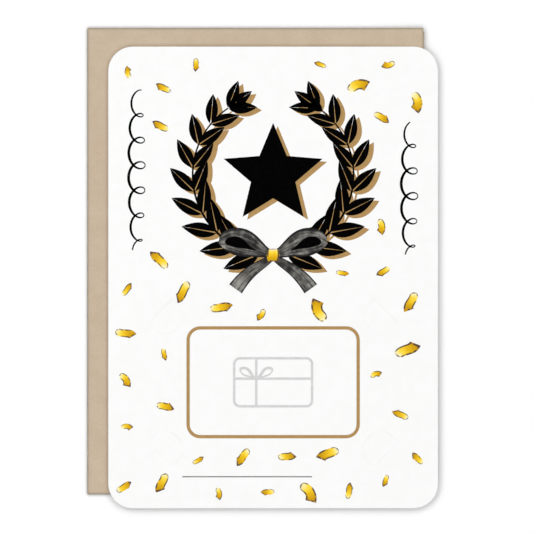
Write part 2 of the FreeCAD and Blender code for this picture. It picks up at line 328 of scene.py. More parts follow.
def kraft_finish():
    """Uncoated kraft paper: cloudy pulp, short curled fibres, and painted shade along its folded outline."""
    kraft = Finish("unbleached_kraft", roughness=0.82, shine=0.2)
    tan, pale, dark = (0.535, 0.420, 0.302), (0.597, 0.484, 0.363), (0.424, 0.322, 0.219)
    # The colour of the painted shade on the envelope's folded outline.
    edge_shade_colour = (0.300, 0.255, 0.205)
    pulp = kraft.place.noise(grain=6 * MM, detail=3)
    grain = kraft.place.noise(grain=0.5 * MM, detail=4)
    colour = (pulp * 0.5 + grain * 0.5).rise(low=0.3, high=0.75).mix(tan, pale)
    curl = kraft.place.noise(grain=FIBRE_LENGTH, detail=1).also("Color")
    sockets = {0: curl, 1: (FIBRE_CURL,) * 3, 2: kraft.place}
    curled = kraft.pen.node("ShaderNodeVectorMath", {"operation": "MULTIPLY_ADD"}, sockets)
    for turn, tone in ((0.2, dark), (0.9, pale), (1.45, dark), (2.1, pale), (2.75, dark)):
        fibres = curled.streaks(FIBRE_WIDTH, FIBRE_LENGTH, turn)
        colour = (fibres.rise(low=0.60, high=0.74) * FIBRE_SHARE).mix(colour, tone)
    # Painted shade darkens the paper along the envelope's folded outline.
    colour = (kraft.own("wear") * EDGE_SHADE_SHARE).mix(colour, edge_shade_colour)
    tooth = kraft.place.noise(grain=0.22 * MM, detail=3)
    bump = kraft.bump(fibres * 0.5 + tooth * 0.5, depth=0.02 * MM, strength=0.6)
    return kraft.drive(Base_Color=colour, Roughness=0.76 + grain * 0.14, Normal=bump)


kraft_paper = kraft_finish()
pocket.data.materials.append(kraft_paper)
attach(pocket, "envelope")
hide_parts("envelope_face", "top_fold", "lower_fold", "left_fold")
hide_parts("top_side_flap", "lower_side_flap", "back_panel")

# Seam glue: a thin dried bead between each side flap and the back panel, out of sight once the seam is
# shut. The modelled strips keep their shape and get the look of dried paper glue.


def glue_finish():
    glue = Finish("dried_seam_glue", roughness=0.45, shine=0.4)
    smear = glue.place.noise(grain=3 * MM, detail=3)
    colour = smear.rise(low=0.35, high=0.7).mix((0.80, 0.74, 0.62), (0.66, 0.58, 0.45))
    return glue.drive(Base_Color=colour, Roughness=0.30 + smear * 0.3)


seam_glue = glue_finish()
for node in ("top_seam_glue", "lower_seam_glue"):
    strip = frame["nodes"][node].data
    strip.materials.clear()
    strip.materials.append(seam_glue)

# Closure flap: the face's sheet goes on past the mouth as a narrow spine and a straight flap with soft
# corners. It is scored twice and folded under, so each of its two pieces bends at one score.
FLAP_TAPER = 5 * MM
FLAP_CORNER = 7 * MM
BEND = 0.1 * MM
BEND_STEPS = 5
SPINE_STEPS = 8
FLAP_STEPS = 28
flap_low, flap_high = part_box("closure_flap")
spine_low, spine_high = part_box("flap_spine")
crease_x = flap_high.x - paper / 2
flap_mid = flap_high.z - paper / 2
spine_mid = (face_mid + flap_mid) / 2
crease_ys = [between(spine_high.y, spine_low.y, share) for share in along_shares]


def crease_rows(places):
    """Rows along the crease at (x, z) places."""
    return [[(x, y, z) for y in crease_ys] for x, z in places]


def quarter_bend(middle_z, start):
    """The (x, z) places of the sheet as it turns down by a quarter at a score."""
    angles = [start - math.pi / 2 * i / BEND_STEPS for i in range(BEND_STEPS + 1)]
    return [(crease_x - BEND + BEND * math.cos(a), middle_z + BEND * math.sin(a)) for a in angles]


places = [(mouth_x, face_mid)] + quarter_bend(face_mid - BEND, math.pi / 2)
spine_shares = [i / SPINE_STEPS for i in range(SPINE_STEPS + 1)]
places += [(crease_x, between(face_mid - BEND, spine_mid, share)) for share in spine_shares[1:]]
blank = bmesh.new()
lay_rows(blank, crease_rows(places))
flap_spine = fold_sheet(blank, "flap_spine_fold")
flap_spine.data.materials.append(kraft_paper)
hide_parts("flap_spine")
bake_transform(flap_spine)

places = [(crease_x, between(spine_mid, flap_mid + BEND, share)) for share in spine_shares[:-1]]
places += quarter_bend(flap_mid + BEND, 0)
rows = crease_rows(places)
for across in closer_to_ends(FLAP_STEPS)[1:]:
    x = between(crease_x - BEND, flap_low.x, across)
    past = max(0, flap_low.x + FLAP_CORNER - x)
    trim = FLAP_TAPER * across + FLAP_CORNER - math.sqrt(max(0, FLAP_CORNER**2 - past**2))
    rows.append([(x, between(flap_high.y - trim, flap_low.y + trim, t), flap_mid) for t in along_shares])
blank = bmesh.new()
lay_rows(blank, rows)
flap = fold_sheet(blank, "closure_flap_sheet")
flap.data.materials.append(kraft_paper)
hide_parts("closure_flap")
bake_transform(flap)

# Gum strip: a brushed margin of dried envelope gum on the flap's inner side, glossier than the paper.
# It is a thin film with rounded ends that shuts the flap once it is wetted.
GUM_END = 6 * MM
GUM_EDGE = 0.03 * MM
ARC_STEPS = 10
gum_low, gum_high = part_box("gum_strip")


def rounded_box(x0, y0, x1, y1, radius, steps=ARC_STEPS):
    """A closed outline with round corners, anticlockwise."""
    outline = []
    left, right, low, high = x0 + radius, x1 - radius, y0 + radius, y1 - radius
    for number, (x, y) in enumerate(((right, high), (left, high), (left, low), (right, low))):
        for i in range(steps + 1):
            angle = math.pi / 2 * (number + i / steps)
            outline.append((x + radius * math.cos(angle), y + radius * math.sin(angle)))
    return outline


def cut_sheet(name, outlines, edge):
    """A flat sheet cut to outlines, each outer or inside another as a hole.

    An outline is a function of how far its cut edge is drawn into the sheet. edge lists how far, and at
    what height, from the top of the cut edge to its bottom.
    """
    bm = bmesh.new()
    caps = ([], [])
    for outline in outlines:
        rings = [[bm.verts.new((x, y, z)) for x, y in outline(inset)] for inset, z in edge]
        count = len(rings[0])
        for upper, lower in zip(rings, rings[1:]):
            for i in range(count):
                j = (i + 1) % count
                bm.faces.new((upper[i], lower[i], lower[j], upper[j]))
        for cap, ring in zip(caps, (rings[0], rings[-1])):
            cap += [bm.edges.get((ring[i], ring[(i + 1) % count])) for i in range(count)]
    for cap in caps:
        bmesh.ops.triangle_fill(bm, use_beauty=True, use_dissolve=False, edges=cap)
    return finish_mesh(bm, name)


def gum_outline(inset):
    box = (gum_low.x + inset, gum_low.y + inset, gum_high.x - inset, gum_high.y - inset)
    return rounded_box(*box, GUM_END - inset)


def gum_finish():
    gum = Finish("dried_gum", roughness=0.25, shine=0.5)
    brushed = gum.place.streaks(width=0.6 * MM, length=14 * MM, turn=math.pi / 2, detail=3.0)
    colour = brushed.rise(low=0.3, high=0.7).mix((0.54, 0.42, 0.29), (0.62, 0.50, 0.36))
    bump = gum.bump(brushed, depth=0.02 * MM, strength=0.5)
    return gum.drive(Base_Color=colour, Roughness=0.18 + brushed * 0.2, Normal=bump)


gum_strip = cut_sheet("gum_strip_film", [gum_outline], [(GUM_EDGE, gum_high.z), (0, gum_low.z)])
gum_strip.data.materials.append(gum_finish())
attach(gum_strip, "closure_flap")
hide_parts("gum_strip")

# Holder card: one stiff sheet of smooth white card with die-cut round corners. Four tongues are
# knife-cut in it at the corners of the gift card's seat, so it has a slot round each of them.
CARD_CORNER = 9.5 * MM
CARD_ARC_STEPS = 24
CUT_EDGE = 0.06 * MM
CUT_EDGE_STEPS = 3
TAB_WIDTH = 13 * MM
TAB_REACH = 9 * MM
TAB_TIP = 5 * MM
KNIFE = 0.015 * MM
TOOTH = 0.18 * MM
card_low, card_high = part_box("holder_card")
card_thickness = card_high.z - card_low.z
tab_joints = [joint for joint in frame["joints"] if joint["child"].startswith("tab_")]


def card_outline(inset):
    box = (card_low.x + inset, card_low.y + inset, card_high.x - inset, card_high.y - inset)
    return rounded_box(*box, CARD_CORNER - inset, CARD_ARC_STEPS)


def tab_axes(joint):
    """A tab's crease, the way that it points, and the way along its crease."""
    axis = Vector(joint["axis"])
    return Vector(joint["pos_m"]), Vector((-axis.y, axis.x, 0)), axis


def tab_slot(joint):
    """The slot round a tab, as an outline: the tab's own and the knife's width more."""
    crease, ahead, aside = tab_axes(joint)

    def outline(inset):
        wide = TAB_WIDTH / 2 + KNIFE + inset
        far = TAB_REACH + KNIFE + inset
        near = -card_thickness / 2 - inset
        tip = TAB_TIP + inset
        turns = [math.pi / 2 * i / ARC_STEPS for i in range(ARC_STEPS + 1)]
        right = [(far - tip + tip * math.sin(a), wide - tip + tip * math.cos(a)) for a in turns]
        half = [(near, wide)] + right
        places = half + [(u, -v) for u, v in reversed(half)]
        return [(crease + ahead * u + aside * v).xy for u, v in places]

    return outline


def rounded_edge(bottom, top, radius, steps=CUT_EDGE_STEPS):
    """How far in and how high a rounded cut edge goes, from its top to its bottom."""
    turns = [math.pi / 2 * i / steps for i in range(steps + 1)]
    upper = [(radius * (1 - math.sin(a)), top - radius * (1 - math.cos(a))) for a in turns]
    return upper + [(inset, bottom + top - z) for inset, z in reversed(upper)]


def card_finish():
    """Coated white card: nearly even, with a fine tooth and a faint mottle."""
    card = Finish("coated_white_card", roughness=0.55, shine=0.25)
    mottle = card.place.noise(grain=4 * MM, detail=2)
    tooth = card.place.noise(grain=TOOTH, detail=3)
    colour = mottle.rise(low=0.3, high=0.7).mix((0.920, 0.920, 0.914), (0.934, 0.934, 0.930))
    bump = card.bump(tooth, depth=0.008 * MM, strength=0.5)
    return card.drive(Base_Color=colour, Roughness=0.48 + tooth * 0.12, Normal=bump)


white_card = card_finish()
outlines = [card_outline] + [tab_slot(joint) for joint in tab_joints]
holder_card = cut_sheet("holder_card_sheet", outlines, rounded_edge(card_low.z, card_high.z, CUT_EDGE))
holder_card.data.materials.append(white_card)
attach(holder_card, "holder_card")
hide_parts("holder_card")

# Corner tabs: four tongues of the same card, joined to it only at a scored crease. Each one springs up
# from its crease to let a corner of the gift card slip under it.
TAB_ROWS = 40


def lay_band(bm, spine, half_widths, bottom, top, columns=2):
    """A flat closed band along a line of places. Its points note how far along and across it they are."""
    names = ("along", "across")
    along, across = (bm.verts.layers.float.get(name) or bm.verts.layers.float.new(name) for name in names)
    rims = []
    for height in (bottom, top):
        rows = []
        for i, (x, y) in enumerate(spine):
            before = spine[max(0, i - 1)]
            after = spine[min(len(spine) - 1, i + 1)]
            heading = Vector((after[0] - before[0], after[1] - before[1])).normalized()
            row = []
            for j in range(columns + 1):
                side = 2 * j / columns - 1
                offset = half_widths[i] * side
                vert = bm.verts.new((x - heading.y * offset, y + heading.x * offset, height))
                vert[along] = i / (len(spine) - 1)
                vert[across] = side
                row.append(vert)
            rows.append(row)
        for first, second in zip(rows, rows[1:]):
            for j in range(columns):
                bm.faces.new((first[j], first[j + 1], second[j + 1], second[j]))
        right, left = [row[-1] for row in rows], [row[0] for row in rows]
        rims.append(rows[0][:-1] + right + rows[-1][-2:0:-1] + left[:0:-1])
    under, over = rims
    for i in range(len(under)):
        j = (i + 1) % len(under)
        bm.faces.new((under[i], under[j], over[j], over[i]))


for joint in tab_joints:
    crease, ahead, aside = tab_axes(joint)
    root = KNIFE - card_thickness / 2
    spine, half_widths = [], []
    for share in closer_to_ends(TAB_ROWS):
        reach = between(root, TAB_REACH, share)
        past = max(0, reach - (TAB_REACH - TAB_TIP))
        spine.append((crease + ahead * reach).xy)
        half_widths.append(TAB_WIDTH / 2 - TAB_TIP + math.sqrt(max(0, TAB_TIP**2 - past**2)))
    bm = bmesh.new()
    lay_band(bm, spine, half_widths, card_low.z, card_high.z)
    tab = finish_mesh(bm, joint["child"] + "_tongue")
    tab.data.materials.append(white_card)
    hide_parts(joint["child"])
    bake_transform(tab)

# Gift card frame: a plain rounded line printed in tan ink where the gift card goes, with a pale grey
# sign of a ribboned gift card inside it and a fine black rule to write on below it.
INK = 0.01 * MM
FRAME_MIDDLE = (0, -40.4)
FRAME_SIZE = (65.5, 41.9)
FRAME_LINE = 1.28
FRAME_CORNER = 4.7
SIGN_SIZE = (30, 18.5)
SIGN_LINE = 0.95
SIGN_CORNER = 2.2
SIGN_KNOT = (-6.5, -39.0)
SIGN_LOOP = ((0.3, 0.2), (2, 0.8), (4.5, 4), (6.6, 3.0))
SIGN_LOOP_NECK, SIGN_LOOP_BELLY, SIGN_LOOP_BELLY_AT = 0.4, 1.75, 0.62
SIGN_HOLE = ((2.2, 1.1), (3.2, 1.6), (4.4, 3.2), (5.8, 2.9))
SIGN_HOLE_NECK, SIGN_HOLE_BELLY, SIGN_HOLE_BELLY_AT = 0.15, 0.85, 0.6
RULE_MIDDLE = (-10, -76.8)
RULE_SIZE = (50, 0.34)
RULE_CORNER = 0.1
THINNEST = 0.02
print_origin = Vector(((card_low.x + card_high.x) / 2, (card_low.y + card_high.y) / 2, card_high.z))


def printed(name, outlines, layer, origin=print_origin):
    """A film of ink inside outlines in millimetres. Higher layers lie on lower ones."""
    lines = [[(origin.x + x * MM, origin.y + y * MM) for x, y in outline] for outline in outlines]
    film = [(0, origin.z + layer * INK), (0, origin.z - INK)]
    return cut_sheet(name, [lambda inset, line=line: line for line in lines], film)


def print_piece(piece, ink):
    """Puts a printed film on the card."""
    piece.data.materials.clear()
    piece.data.materials.append(ink)
    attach(piece, "holder_card")


def box_outline(middle, size, corner, grow=0.0):
    """A rounded box in millimetres, its sides moved out by grow."""
    half_x, half_y = size[0] / 2 + grow, size[1] / 2 + grow
    x, y = middle
    return rounded_box(x - half_x, y - half_y, x + half_x, y + half_y, corner + grow)


def line_box(middle, size, corner, line):
    return [box_outline(middle, size, corner, grow) for grow in (line / 2, -line / 2)]


def bezier(controls, count):
    """Places along a smooth line that is drawn towards its control places."""
    places = []
    for i in range(count + 1):
        line = [Vector(control) for control in controls]
        while len(line) > 1:
            line = [a.lerp(b, i / count) for a, b in zip(line, line[1:])]
        places.append(line[0])
    return places


def drop_widths(count, neck, belly, where):
    """Half widths along a drop: from a narrow neck to its belly, and round to a point at its end."""
    widths = []
    for i in range(count + 1):
        share = i / count
        if share < where:
            width = between(neck, belly, smooth_step(share, 0, where))
        else:
            width = belly * math.sqrt(max(0, 1 - ((share - where) / (1 - where)) ** 2))
        widths.append(max(THINNEST, width))
    return widths


def drop_outline(controls, neck, belly, where, count=16):
    """The closed outline of a drop along a smooth line."""
    line = bezier(controls, count)
    left, right = [], []
    for i, width in enumerate(drop_widths(count, neck, belly, where)):
        heading = (line[min(count, i + 1)] - line[max(0, i - 1)]).normalized()
        offset = Vector((-heading.y, heading.x)) * width
        left.append(line[i] + offset)
        right.append(line[i] - offset)
    return right + left[::-1]


def ink_finish(name, colour, roughness, shine):
    """Printed ink: nearly even, a little thinner in places, with the paper's tooth under it."""
    ink = Finish(name, roughness, shine)
    lay = ink.place.noise(grain=1.4 * MM, detail=3)
    thin = [channel * 1.12 + 0.001 for channel in colour]
    bump = ink.bump(ink.place.noise(grain=TOOTH, detail=3), depth=0.006 * MM, strength=0.5)
    return ink.drive(Base_Color=lay.rise(low=0.35, high=0.8).mix(colour, thin), Normal=bump)


tan_ink = ink_finish("tan_ink", (0.405, 0.250, 0.095), roughness=0.5, shine=0.12)
grey_ink = ink_finish("pale_grey_ink", (0.610, 0.610, 0.610), roughness=0.5, shine=0.12)
black_ink = ink_finish("black_ink", (0.0005, 0.0005, 0.0005), roughness=0.7, shine=0.01)

frame_lines = line_box(FRAME_MIDDLE, FRAME_SIZE, FRAME_CORNER, FRAME_LINE)
print_piece(printed("gift_card_frame", frame_lines, 1), tan_ink)
knot_x, knot_y = SIGN_KNOT
half = SIGN_LINE / 2
left, right = (FRAME_MIDDLE[0] + side * (SIGN_SIZE[0] / 2 - half) for side in (-1, 1))
low, high = (FRAME_MIDDLE[1] + side * (SIGN_SIZE[1] / 2 - half) for side in (-1, 1))
ribbon_cross = [
    (knot_x - half, low), (knot_x + half, low), (knot_x + half, knot_y - half),
    (right, knot_y - half), (right, knot_y + half), (knot_x + half, knot_y + half),
    (knot_x + half, high), (knot_x - half, high), (knot_x - half, knot_y + half),
    (left, knot_y + half), (left, knot_y - half), (knot_x - half, knot_y - half),
]
sign_lines = line_box(FRAME_MIDDLE, SIGN_SIZE, SIGN_CORNER, SIGN_LINE)
print_piece(printed("gift_card_sign", sign_lines, 1), grey_ink)
print_piece(printed("gift_card_sign_ribbon", [ribbon_cross], 1), grey_ink)
loops = []
for side in (-1, 1):
    loop, hole = ([(knot_x + side * x, knot_y + y) for x, y in line] for line in (SIGN_LOOP, SIGN_HOLE))
    loops.append(drop_outline(loop, SIGN_LOOP_NECK, SIGN_LOOP_BELLY, SIGN_LOOP_BELLY_AT))
    loops.append(drop_outline(hole, SIGN_HOLE_NECK, SIGN_HOLE_BELLY, SIGN_HOLE_BELLY_AT))
print_piece(printed("gift_card_sign_bow", loops, 2), grey_ink)
rule = box_outline(RULE_MIDDLE, RULE_SIZE, RULE_CORNER)
print_piece(printed("writing_rule", [rule], 1), black_ink)

# Laurel wreath: two printed sprigs of black leaves, each leaf split by a pale rib, round a black star.
# All of it lies on a tan copy of itself that is set off to the lower right.
WREATH_MIDDLE = Vector((0, 39.5))
WREATH_RADIUS = 31.0
SPRIG_START = math.radians(-80)
SPRIG_END = math.radians(56)
SPRIG_STEPS = 40
SPRIG_LEAVES = 9
LEAF_LENGTH = 15.2
LEAF_HALF = 3.1
LEAF_RIB = 0.26
LEAF_HEEL = 0.2
LEAF_SWELL, LEAF_FULL = 0.85, 0.9
LEAF_FIRST, LEAF_LAST = 0.98, 0.74
LEAF_TILT = math.radians(34)
LEAF_STEPS = 9
STEM_HALF, STEM_TAPER = 0.5, 0.5
STAR_RADIUS = 20.0
STAR_WAIST = 0.45
OFFSET_COPY = Vector((1.75, -1.15))
WREATH_REACH = WREATH_RADIUS + 0.6 * LEAF_LENGTH


def new_tree(name, sockets):
    """A geometry node tree with named inputs, a pen to draw nodes in it, and its inputs by name."""
    tree = bpy.data.node_groups.new(name, "GeometryNodeTree")
    for label, kind in {"Geometry": "Geometry", **sockets, "Material": "Material"}.items():
        tree.interface.new_socket(label, in_out="INPUT", socket_type="NodeSocket" + kind)
    tree.interface.new_socket("Geometry", in_out="OUTPUT", socket_type="NodeSocketGeometry")
    given = tree.nodes.new("NodeGroupInput")
    return tree, Shade(tree), {socket.name: Shade(tree, socket) for socket in given.outputs}


def join(pen, shapes):
    joined = pen.node("GeometryNodeJoinGeometry")
    for shape in shapes:
        pen.tree.links.new(shape.socket, joined.socket.node.inputs[0])
    return joined


def end_tree(pen, instances, material):
    real = pen.node("GeometryNodeRealizeInstances", {}, {"Geometry": instances})
    dressed = pen.node("GeometryNodeSetMaterial", {}, {"Geometry": real, "Material": material})
    pen.tree.links.new(dressed.socket, pen.tree.nodes.new("NodeGroupOutput").inputs[0])


def turned_by(pen, angle):
    """A rotation about the card's upright."""
    turn = pen.node("ShaderNodeCombineXYZ", {}, {"Z": angle})
    return pen.node("FunctionNodeEulerToRotation", {}, {0: turn})


def grow(name, base, tree, values, patterns):
    """Runs a node tree on a base mesh and leaves a plain piece. The base and its patterns go."""
    runner = base.modifiers.new("grow", "NODES")
    runner.node_group = tree
    for socket in tree.interface.items_tree:
        if socket.name in values:
            runner[socket.identifier] = values[socket.name]
    mesh = bpy.data.meshes.new_from_object(base.evaluated_get(bpy.context.evaluated_depsgraph_get()))
    base.modifiers.clear()
    for spent in [base] + patterns:
        bpy.data.objects.remove(spent)
    return add_piece(name, mesh)


def sprig_tree():
    """Leaves in pairs along each line of the base, smaller towards its end, and one more at the end."""
    sizes = {"First size": "Float", "Last size": "Float"}
    tree, pen, given = new_tree("leaf_sprig", {"Leaf": "Object", "Leaves": "Int", "Tilt": "Float", **sizes})
    line = pen.node("GeometryNodeMeshToCurve", {}, {"Mesh": given["Geometry"]})
    sockets = {"Curve": line, "Count": given["Leaves"]}
    points = pen.node("GeometryNodeCurveToPoints", {"mode": "COUNT"}, sockets)
    sockets = {"Vector": points.also("Tangent")}
    facing = pen.node("FunctionNodeAlignRotationToVector", {"axis": "X"}, sockets)
    number = pen.math("MODULO", pen.node("GeometryNodeInputIndex"), given["Leaves"])
    share = pen.math("DIVIDE", number, given["Leaves"] - 1)
    size = given["First size"] + share * (given["Last size"] - given["First size"])
    leaf = pen.node("GeometryNodeObjectInfo", {}, {"Object": given["Leaf"]}, out="Geometry")
    leaves = []
    for side in (1, -1, 0):
        sockets = {"Rotation": facing, "Rotate By": turned_by(pen, given["Tilt"] * side)}
        rotation = pen.node("FunctionNodeRotateRotation", {"rotation_space": "LOCAL"}, sockets)
        sockets = {"Points": points, "Instance": leaf, "Rotation": rotation, "Scale": size}
        if side == 0:
            sockets["Selection"] = share.rise(low=0.98, high=0.99)
        leaves.append(pen.node("GeometryNodeInstanceOnPoints", {}, sockets))
    end_tree(pen, join(pen, leaves), given["Material"])
    return tree


def leaf_side(along):
    """Half the width of a leaf, that far along it."""
    return LEAF_HALF * math.sin(math.pi * (along / LEAF_LENGTH) ** LEAF_SWELL) ** LEAF_FULL


leaf_places = [LEAF_LENGTH * i / LEAF_STEPS for i in range(1, LEAF_STEPS)]


def split_leaf():
    """The two halves of a leaf, parted by its rib."""
    halves = []
    for side in (1, -1):
        rib = [(x, side * LEAF_RIB * (1 - x / LEAF_LENGTH)) for x in leaf_places]
        rim = [(x, side * leaf_side(x)) for x in leaf_places]
        heel, tip = (LEAF_HEEL, side * LEAF_RIB), (LEAF_LENGTH, side * THINNEST)
        halves.append([heel] + rib + [tip] + rim[::-1])
    return halves


def whole_leaf():
    rim = [(x, leaf_side(x)) for x in leaf_places]
    return [[(0, 0)] + [(x, -y) for x, y in rim] + [(LEAF_LENGTH, 0)] + rim[::-1]]


def stem_line(side, shift):
    """One stem, from the foot of the wreath up to its tip."""
    line = []
    for i in range(SPRIG_STEPS + 1):
        angle = between(SPRIG_START, SPRIG_END, i / SPRIG_STEPS)
        reach = WREATH_RADIUS * Vector((side * math.cos(angle), math.sin(angle)))
        line.append(WREATH_MIDDLE + shift + reach)
    return line


def star_outline(middle, radius, waist):
    outline = []
    for i in range(10):
        angle = math.pi / 2 + math.pi * i / 5
        reach = radius * (waist if i % 2 else 1)
        outline.append(middle + reach * Vector((math.cos(angle), math.sin(angle))))
    return outline


def printed_band(bm, line, half_widths, layer, columns=2, origin=print_origin):
    """Adds a film of ink along a line, both in millimetres."""
    spine = [(origin.x + x * MM, origin.y + y * MM) for x, y in line]
    widths = [width * MM for width in half_widths]
    lay_band(bm, spine, widths, origin.z - INK, origin.z + layer * INK, columns)


leaf_sprig = sprig_tree()
stem_widths = [STEM_HALF * (1 - STEM_TAPER * i / SPRIG_STEPS) for i in range(SPRIG_STEPS + 1)]
for copy, leaf, shift, layer, ink in (
    ("tan", whole_leaf(), OFFSET_COPY, 1, tan_ink),
    ("black", split_leaf(), Vector((0, 0)), 2, black_ink),
):
    stems, base = bmesh.new(), bmesh.new()
    for side in (-1, 1):
        line = stem_line(side, shift)
        printed_band(stems, line, stem_widths, layer)
        verts = [base.verts.new(print_origin + Vector((*place, 0)) * MM) for place in line]
        for first, second in zip(verts, verts[1:]):
            base.edges.new((first, second))
    pattern = printed("leaf_pattern", leaf, layer, Vector())
    values = {"Leaf": pattern, "Leaves": SPRIG_LEAVES, "Tilt": LEAF_TILT, "Material": ink}
    values.update({"First size": LEAF_FIRST, "Last size": LEAF_LAST})
    leaves = grow("wreath_leaves_" + copy, finish_mesh(base, "stem_lines"), leaf_sprig, values, [pattern])
    print_piece(leaves, ink)
    print_piece(finish_mesh(stems, "wreath_stems_" + copy), ink)
    star = star_outline(WREATH_MIDDLE + shift, STAR_RADIUS, STAR_WAIST)
    print_piece(printed("wreath_star_" + copy, [star], layer), ink)

# Bow: a ribbon bow at the foot of the wreath, printed as a charcoal wash that pools darker along its
# edges and folds, with a gold knot.
BOW_MIDDLE = Vector((0, 8.6))
BOW_STEPS = 28
LOOP_LINE = ((0.6, 0.2), (6, 1.5), (12, 7.5), (21, 4.6))
LOOP_NECK, LOOP_BELLY, LOOP_BELLY_AT = 1.7, 5.4, 0.66
OPENING_LINE = ((7.0, 1.9), (11, 3.4), (14, 6.4), (18.6, 4.7))
OPENING_NECK, OPENING_BELLY, OPENING_BELLY_AT = 0.3, 2.1, 0.62
TAIL_LINE = ((0.4, -0.6), (4.5, -4.5), (8.5, -4.5), (14.5, -13.0))
TAIL_NECK, TAIL_END = 1.3, 3.0
KNOT_HALF = (2.5, 2.4)
KNOT_WAIST, KNOT_SWELL, KNOT_FULL = 0.72, 0.28, 0.6
BOW_ROOM = (32, 28)


def wash_finish():
    """Charcoal wash: pale and dark pools, streaks along the ribbon, and a darker rim."""
    wash = Finish("charcoal_wash", roughness=0.6, shine=0.06)
    along, across = wash.own("along"), wash.own("across")
    pools = wash.place.noise(grain=3.2 * MM, detail=4)
    ribbon_place = wash.pen.node("ShaderNodeCombineXYZ", {}, {"X": along, "Y": across})
    folds = ribbon_place.streaks(width=0.21, length=0.42, detail=2.0)
    rim = wash.pen.math("ABSOLUTE", across).rise(low=0.70, high=1.0)
    dark = pools * 0.75 + folds * 0.75 + rim * 0.35 + (1 - along) * 0.16
    stops = [
        (0.0, (0.36, 0.35, 0.32)), (0.35, (0.17, 0.165, 0.15)),
        (0.7, (0.045, 0.043, 0.040)), (1.0, (0.012, 0.012, 0.012)),
    ]
    colour = wash.pen.node("ShaderNodeValToRGB", {"stops": stops}, {0: dark.rise(low=0.45, high=1.15)})
    return wash.drive(Base_Color=colour)


def gold_finish():
    """Gold-coloured ink: pale at one end and deep at the other, inside a broken brown line."""
    gold = Finish("gold_ink", roughness=0.45, shine=0.15)
    along = gold.own("along")
    shade = along * 0.8 + gold.place.noise(grain=2.0 * MM, detail=2) * 0.25
    stops = [
        (0.12, (1.0, 0.92, 0.62)), (0.32, (0.99, 0.72, 0.06)),
        (0.54, (0.83, 0.50, 0.010)), (0.88, (0.56, 0.29, 0.004)),
    ]
    fill = gold.pen.node("ShaderNodeValToRGB", {"stops": stops}, {0: shade})
    thicker = along * 0.10
    side = gold.pen.math("ABSOLUTE", gold.own("across")).rise(low=0.68 - thicker, high=0.82 - thicker)
    tips = along.rise(low=0.90, high=0.95) + (1 - along).rise(low=0.93, high=0.97)
    breaks = gold.place.noise(grain=1.6 * MM, detail=1).rise(low=0.38, high=0.50)
    rim = gold.pen.math("MAXIMUM", side, tips) * breaks
    return gold.drive(Base_Color=(rim * 0.95).mix(fill, (0.060, 0.034, 0.036)))


wash_ink = wash_finish()
gold_ink = gold_finish()
tails, loops, openings, knot = (bmesh.new() for _ in range(4))
tail_widths = [between(TAIL_NECK, TAIL_END, i / BOW_STEPS) for i in range(BOW_STEPS + 1)]
loop_widths = drop_widths(BOW_STEPS, LOOP_NECK, LOOP_BELLY, LOOP_BELLY_AT)
opening_widths = drop_widths(BOW_STEPS, OPENING_NECK, OPENING_BELLY, OPENING_BELLY_AT)
for side in (-1, 1):
    for band, controls, widths, layer in (
        (tails, TAIL_LINE, tail_widths, 3),
        (loops, LOOP_LINE, loop_widths, 4),
        (openings, OPENING_LINE, opening_widths, 5),
    ):
        line = bezier([BOW_MIDDLE + Vector((side * x, y)) for x, y in controls], BOW_STEPS)
        printed_band(band, line, widths, layer, columns=4)
shares = [i / BOW_STEPS for i in range(BOW_STEPS + 1)]
knot_line = [BOW_MIDDLE + Vector((0, between(KNOT_HALF[1], -KNOT_HALF[1], share))) for share in shares]
knot_fullness = [KNOT_WAIST + KNOT_SWELL * math.sin(math.pi * share) ** KNOT_FULL for share in shares]
knot_widths = [KNOT_HALF[0] * fullness for fullness in knot_fullness]
printed_band(knot, knot_line, knot_widths, 6)
print_piece(finish_mesh(tails, "bow_tails"), wash_ink)
print_piece(finish_mesh(loops, "bow_loops"), wash_ink)
print_piece(finish_mesh(openings, "bow_openings"), black_ink)
print_piece(finish_mesh(knot, "bow_knot"), gold_ink)

# Streamers: two thin black curls hang down beside the wreath, one on each side and of different
# lengths. Their printed line is thin going up and swells going down, like a pen stroke.
STREAMERS = ((-52.5, 72, 62, 0.0), (52.5, 58, 50, 1.4))
STREAMER_SWING = 3.2
STREAMER_LIFT = 3.4
STREAMER_PITCH = 9.6
STREAMER_THIN, STREAMER_THICK = 0.2, 0.55
STREAMER_FADE = 0.4
CURL_ENDS, CURL_GROWTH = 0.55, 0.45
STEPS_PER_MM = 6

streamers = bmesh.new()
for x0, y0, length, phase in STREAMERS:
    line, widths = [], []
    steps = int(length * STEPS_PER_MM)
    for i in range(steps + 1):
        share = i / steps
        turn = 2 * math.pi * length * share / STREAMER_PITCH + phase
        size = CURL_ENDS + CURL_GROWTH * math.sin(math.pi * share)
        x = x0 + STREAMER_SWING * size * math.cos(turn)
        line.append((x, y0 - length * share + STREAMER_LIFT * size * math.sin(turn)))
        stroke = (0.5 - 0.5 * math.cos(turn)) * math.sin(math.pi * share) ** STREAMER_FADE
        widths.append(between(STREAMER_THIN, STREAMER_THICK, stroke))
    printed_band(streamers, line, widths, 1)
print_piece(finish_mesh(streamers, "streamers"), black_ink)

# Confetti: short gold ribbon bits strewn over the open ground of the print. They keep clear of the
# wreath, the bow, the streamers, the frame, the rule and the four knife-cut tabs.
CONFETTI_SPACING = 14.6
CONFETTI_SEED = 7
CONFETTI_SMALLEST, CONFETTI_LARGEST = 0.6, 1.3
CONFETTI_CLEAR, CONFETTI_WIDE_CLEAR = 5.2, 6.2
CONFETTI_DENSITY = 1e5
CONFETTI_STEPS = 24
CONFETTI_ROUND, CONFETTI_BLUNT, CONFETTI_FLARE = 0.17, 0.3, 0.22
GROUND_CELL = 1.5
BITS = (
    (((-3.4, -0.4), (-1.2, 1.3), (1.6, -0.9), (3.2, 1.0)), 1.45),
    (((-3.1, -0.9), (-0.6, 1.3), (1.8, 0.6), (3.1, -1.0)), 1.5),
    (((-3.4, 0.4), (-1.0, -1.2), (1.9, 1.3), (3.3, -0.5)), 1.35),
)
print_half_x = (card_high.x - card_low.x) / MM / 2
